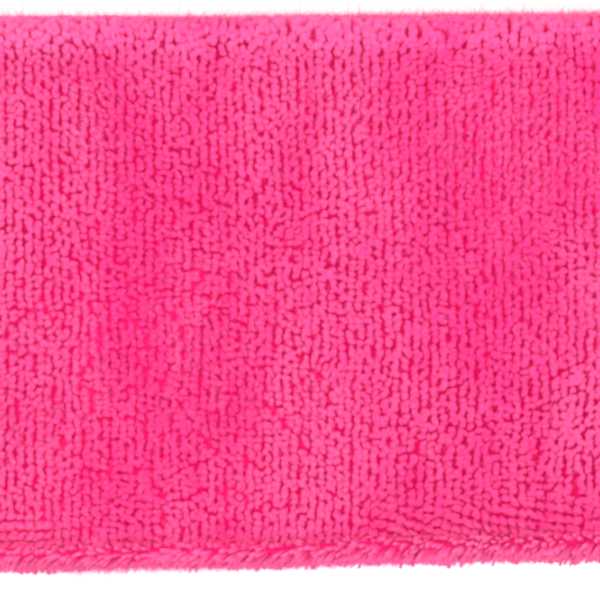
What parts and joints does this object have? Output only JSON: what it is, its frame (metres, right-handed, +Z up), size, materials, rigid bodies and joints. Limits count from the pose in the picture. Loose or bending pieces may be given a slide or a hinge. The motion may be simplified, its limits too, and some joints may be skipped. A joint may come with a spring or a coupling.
{
  "type": "sports headband",
  "caption": "Closed elastic loop of looped terry cloth, folded at the top, with a stitched and rolled hem along the bottom.",
  "frame": {"origin": "middle of the loop, on the plane that the hemmed edge stands on", "axes": "+Z up, across the band's width; -Y out of the front of the loop; +Y out of the back, where the seam is; +X to the right seen from the front"},
  "size_m": [0.157, 0.0738, 0.055],
  "materials": {
    "terry": "matte",
    "webbing": "matte",
    "rubber": "matte",
    "thread": "satin",
    "thread_white": "satin",
    "label": "satin"
  },
  "bodies": {
    "centre": {"front_terry_cover": "terry", "front_elastic_web": "webbing", "front_rubber_cords": "rubber", "front_hem_needle_thread": "thread", "front_hem_bobbin_thread": "thread", "back_left_terry_cover": "terry", "back_left_elastic_web": "webbing", "back_left_rubber_cords": "rubber", "back_left_hem_needle_thread": "thread", "back_left_hem_bobbin_thread": "thread", "back_right_terry_cover": "terry", "back_right_elastic_web": "webbing", "back_right_rubber_cords": "rubber", "back_right_hem_needle_thread": "thread", "back_right_hem_bobbin_thread": "thread", "seam_allowance_left": "terry", "seam_allowance_right": "terry", "overlock_thread_left": "thread", "overlock_thread_right": "thread", "back_seam_thread": "thread", "web_join_needle_zigzag": "thread_white", "web_join_bobbin_zigzag": "thread_white", "label_stitch": "thread"},
    "left_end": {"left_terry_cover": "terry", "left_elastic_web": "webbing", "left_rubber_cords": "rubber", "left_hem_needle_thread": "thread", "left_hem_bobbin_thread": "thread"},
    "right_end": {"right_terry_cover": "terry", "right_elastic_web": "webbing", "right_rubber_cords": "rubber", "right_hem_needle_thread": "thread", "right_hem_bobbin_thread": "thread"},
    "label": {"care_label": "label"}
  },
  "joints": [
    {"name": "stretch_right", "type": "slide", "parent": "centre", "child": "right_end", "axis": [1, 0, 0], "range_m": [0, 0.0475], "stiffness_N_per_m": 120},
    {"name": "stretch_left", "type": "slide", "parent": "centre", "child": "left_end", "axis": [-1, 0, 0], "range_m": [0, 0.0475], "stiffness_N_per_m": 120},
    {"name": "label_hinge", "type": "hinge", "parent": "centre", "child": "label", "pos_m": [0, 0.02935, 0.03], "axis": [0, 0, -1], "range_deg": [0, 165]}
  ],
  "couplings": [
    {"joint": "stretch_left", "follows": "stretch_right", "ratio": 1}
  ]
}
